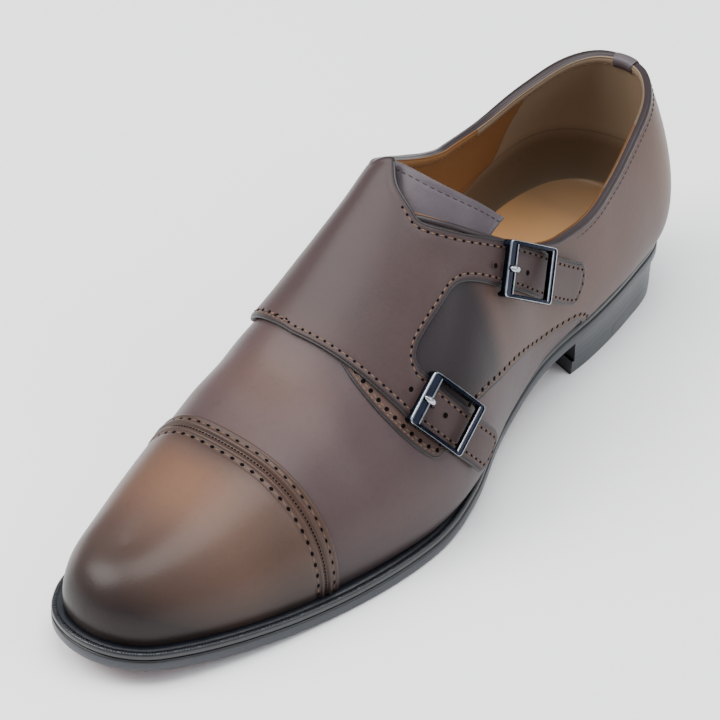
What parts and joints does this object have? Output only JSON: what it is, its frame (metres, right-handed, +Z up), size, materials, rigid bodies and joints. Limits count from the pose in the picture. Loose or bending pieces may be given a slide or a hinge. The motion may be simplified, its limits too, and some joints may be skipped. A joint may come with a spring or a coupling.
{
  "type": "monk strap shoe",
  "caption": "Left men's dress shoe with a capped toe, a flap over the instep and two straps closed by rectangular buckles, on a leather sole with a low heel",
  "frame": {"origin": "centre of the bounding box in plan, on the ground that the heel and the ball of the sole stand on", "axes": "+Z up, -Y towards the toe, +Y towards the heel, +X towards the outer side of the left foot"},
  "size_m": [0.1004, 0.3068, 0.1099],
  "materials": {
    "upper_leather": "burnished grey-brown calf",
    "cap_leather": "burnished brown calf, darker towards the edges",
    "tongue_leather": "grey-brown calf",
    "insole_leather": "smooth tan lining leather",
    "sole_leather": "polished burgundy sole leather",
    "welt_leather": "polished black edge",
    "heel_leather": "polished black stacked leather",
    "heel_rubber": "matt black rubber",
    "buckle_metal": "polished gunmetal",
    "prong_metal": "bright steel"
  },
  "bodies": {
    "root": {"outsole": "sole_leather", "welt": "welt_leather", "heel_stack": "heel_leather", "top_lift_front": "sole_leather", "top_lift_rear": "heel_rubber", "insole": "insole_leather", "upper": "upper_leather", "toe_cap": "cap_leather", "tongue": "tongue_leather", "strap_flap": "upper_leather", "buckle_upper": "buckle_metal", "buckle_lower": "buckle_metal", "prong_upper": "prong_metal", "prong_lower": "prong_metal"}
  },
  "joints": []
}
